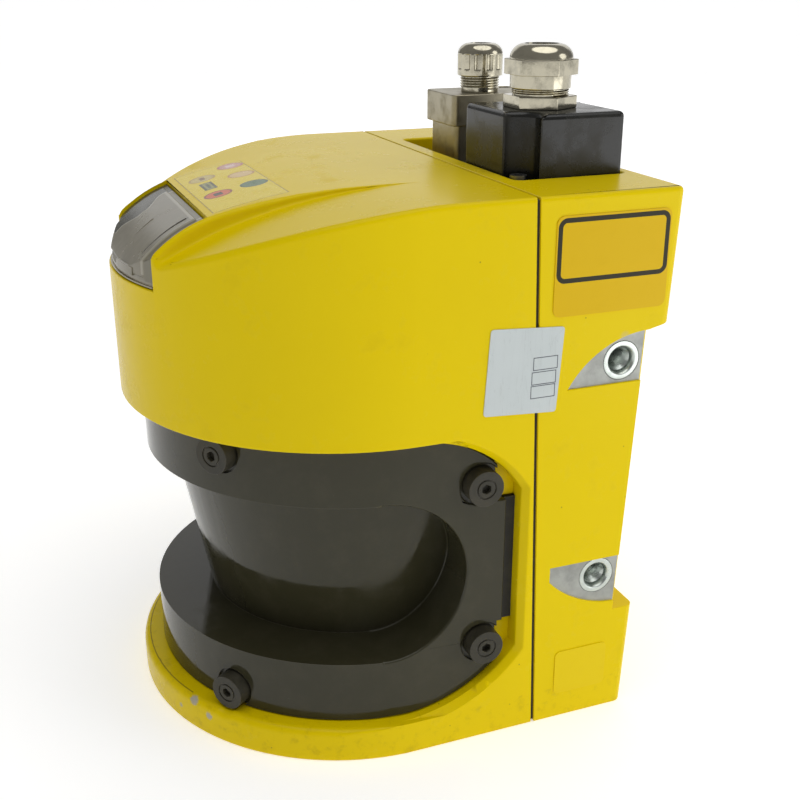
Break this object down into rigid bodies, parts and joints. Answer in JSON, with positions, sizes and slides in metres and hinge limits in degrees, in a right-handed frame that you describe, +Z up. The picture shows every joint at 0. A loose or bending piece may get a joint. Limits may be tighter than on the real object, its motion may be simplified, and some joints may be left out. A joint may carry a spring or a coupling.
{
  "type": "safety laser scanner",
  "caption": "Safety laser scanner: two-part cast housing with a round smoked optics cover, a conical scan window, a display under the crown and two plugs with cable glands.",
  "frame": {"origin": "where the scan mirror's axis meets the flat face that the scanner stands on", "axes": "+Z up along the mirror's axis, -Y the way the scanner looks, +X its left side as it looks out"},
  "size_m": [0.1553, 0.1648, 0.2245],
  "materials": {
    "yellow_paint": "glossy traffic-yellow powder coat with fine orange peel",
    "machined_zinc": "bare thread inserts",
    "seal_rubber": "matt black",
    "cover_plastic": "dark smoked gloss",
    "screw_plastic": "satin dark grey caps",
    "window_plastic": "grey translucent",
    "circuit_board": "green solder resist",
    "black_plastic": "semi-gloss black",
    "lamp_plastic": "clear coloured",
    "foil_print": "printed film",
    "amber_print": "printed film",
    "paper_print": "printed film",
    "bolt_steel": "zinc plated",
    "nickel": "polished nickel on brass",
    "die_cast": "satin nickel on die-cast zinc",
    "ivory_plastic": "moulded",
    "bare_aluminium": "machined",
    "motor_steel": "laminated",
    "mirror": "first-surface coating",
    "lens_glass": "clear",
    "brass": "turned"
  },
  "bodies": {
    "base": {"front_housing": "yellow_paint", "rear_housing": "yellow_paint", "housing_seal": "seal_rubber", "housing_bolts": "bolt_steel", "optics_cover": "cover_plastic", "cover_seal": "seal_rubber", "cover_screws": "screw_plastic", "display_window": "window_plastic", "display_board": "circuit_board", "segment_display": "black_plastic", "status_lamps": "lamp_plastic", "status_foil": "foil_print", "thread_inserts": "machined_zinc", "amber_plate": "amber_print", "inspection_sticker": "paper_print", "small_plate": "amber_print", "system_plug": "black_plastic", "system_plug_seal": "seal_rubber", "plug_screws": "bolt_steel", "contact_block": "ivory_plastic", "large_gland_body": "nickel", "large_gland_nut": "nickel", "large_gland_insert": "seal_rubber", "metal_plug": "die_cast", "metal_plug_seal": "seal_rubber", "small_gland_body": "nickel", "small_gland_nut": "nickel", "small_gland_insert": "seal_rubber", "main_board": "circuit_board", "board_screws": "bolt_steel", "processor": "black_plastic", "optics_frame": "bare_aluminium", "frame_screws": "bolt_steel", "motor_stator": "motor_steel", "motor_bearings": "bolt_steel", "encoder_sensor": "black_plastic", "lens_tube": "bare_aluminium", "receiving_lens": "lens_glass", "receiver_board": "circuit_board", "laser_barrel": "brass", "laser_diode": "bolt_steel", "window_monitor": "circuit_board"},
    "rotor": {"motor_shaft": "bolt_steel", "mirror_carrier": "bare_aluminium", "scan_mirror": "mirror", "encoder_disc": "lens_glass"}
  },
  "joints": [
    {"name": "mirror_spin", "type": "hinge", "parent": "base", "child": "rotor", "pos_m": [0, 0, 0.066], "axis": [0, 0, 1], "continuous": true}
  ]
}
